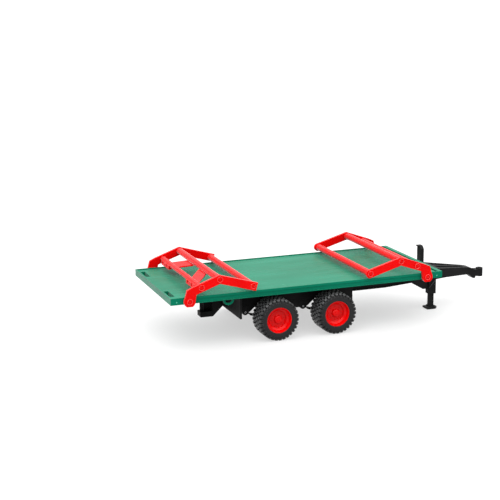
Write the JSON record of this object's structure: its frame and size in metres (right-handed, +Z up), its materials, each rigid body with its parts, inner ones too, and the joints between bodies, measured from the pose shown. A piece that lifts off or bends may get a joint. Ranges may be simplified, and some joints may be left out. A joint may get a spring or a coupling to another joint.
{
  "type": "toy bale trailer",
  "caption": "Toy flat-bed farm trailer with a ribbed green deck, folding red end gates, tandem wheels, A-shaped drawbar, parking leg and rear hitch jaw.",
  "frame": {"origin": "on the ground below the middle of the whole toy, gates folded and leg down", "axes": "+X forward to the drawbar eye, +Y to the left, +Z up"},
  "size_m": [0.534, 0.1894, 0.1033],
  "materials": {
    "green_plastic": "glossy moulded",
    "red_plastic": "glossy moulded",
    "rim_plastic": "glossy moulded",
    "black_plastic": "satin moulded",
    "tyre_rubber": "soft matt",
    "steel": "satin"
  },
  "bodies": {
    "trailer": {"deck": "green_plastic", "deck_ribs": "green_plastic", "lashing_loops": "green_plastic", "chassis": "black_plastic", "chassis_ribs": "black_plastic", "rear_panel": "black_plastic", "hitch_bracket": "black_plastic", "drawbar": "black_plastic", "drawbar_pins": "steel", "hose_bracket": "black_plastic", "leg_housing": "black_plastic", "axle_frame_left": "black_plastic", "axle_frame_right": "black_plastic", "spring_hangers_left": "black_plastic", "spring_hangers_right": "black_plastic", "axle_front": "steel", "axle_rear": "steel", "spring_front_left": "black_plastic", "spring_front_right": "black_plastic", "spring_rear_left": "black_plastic", "spring_rear_right": "black_plastic", "spring_pins": "steel", "axle_clamps": "black_plastic", "deck_screws": "steel"},
    "rear_gate": {"rear_gate_arm_left": "red_plastic", "rear_gate_arm_right": "red_plastic", "rear_gate_low_tube": "red_plastic", "rear_gate_top_tube": "red_plastic", "rear_gate_end_tube": "red_plastic", "rear_gate_board_left": "red_plastic", "rear_gate_board_right": "red_plastic", "rear_gate_pins": "red_plastic"},
    "front_gate": {"front_gate_arm_left": "red_plastic", "front_gate_arm_right": "red_plastic", "front_gate_low_tube": "red_plastic", "front_gate_top_tube": "red_plastic", "front_gate_end_tube": "red_plastic", "front_gate_pins": "red_plastic"},
    "wheel_front_left": {"rim_front_left": "rim_plastic", "tyre_front_left": "tyre_rubber"},
    "wheel_front_right": {"rim_front_right": "rim_plastic", "tyre_front_right": "tyre_rubber"},
    "wheel_rear_left": {"rim_rear_left": "rim_plastic", "tyre_rear_left": "tyre_rubber"},
    "wheel_rear_right": {"rim_rear_right": "rim_plastic", "tyre_rear_right": "tyre_rubber"},
    "leg": {"parking_leg": "black_plastic", "parking_foot": "black_plastic"},
    "pin": {"hitch_pin": "black_plastic"}
  },
  "joints": [
    {"name": "rear_gate_fold", "type": "hinge", "parent": "trailer", "child": "rear_gate", "pos_m": [-0.2412, 0, 0.0702], "axis": [0, -1, 0], "range_deg": [0, 95]},
    {"name": "front_gate_fold", "type": "hinge", "parent": "trailer", "child": "front_gate", "pos_m": [0.1192, 0, 0.0702], "axis": [0, 1, 0], "range_deg": [0, 95]},
    {"name": "wheel_front_left_spin", "type": "hinge", "parent": "trailer", "child": "wheel_front_left", "pos_m": [-0.0225, 0, 0.0297], "axis": [0, 1, 0], "continuous": true},
    {"name": "wheel_front_right_spin", "type": "hinge", "parent": "trailer", "child": "wheel_front_right", "pos_m": [-0.0225, 0, 0.0297], "axis": [0, 1, 0], "continuous": true},
    {"name": "wheel_rear_left_spin", "type": "hinge", "parent": "trailer", "child": "wheel_rear_left", "pos_m": [-0.1108, 0, 0.0297], "axis": [0, 1, 0], "continuous": true},
    {"name": "wheel_rear_right_spin", "type": "hinge", "parent": "trailer", "child": "wheel_rear_right", "pos_m": [-0.1108, 0, 0.0297], "axis": [0, 1, 0], "continuous": true},
    {"name": "parking_leg_slide", "type": "slide", "parent": "trailer", "child": "leg", "axis": [0, 0, 1], "range_m": [0, 0.018]},
    {"name": "hitch_pin_lift", "type": "slide", "parent": "trailer", "child": "pin", "axis": [0, 0, 1], "range_m": [0, 0.0156]}
  ]
}
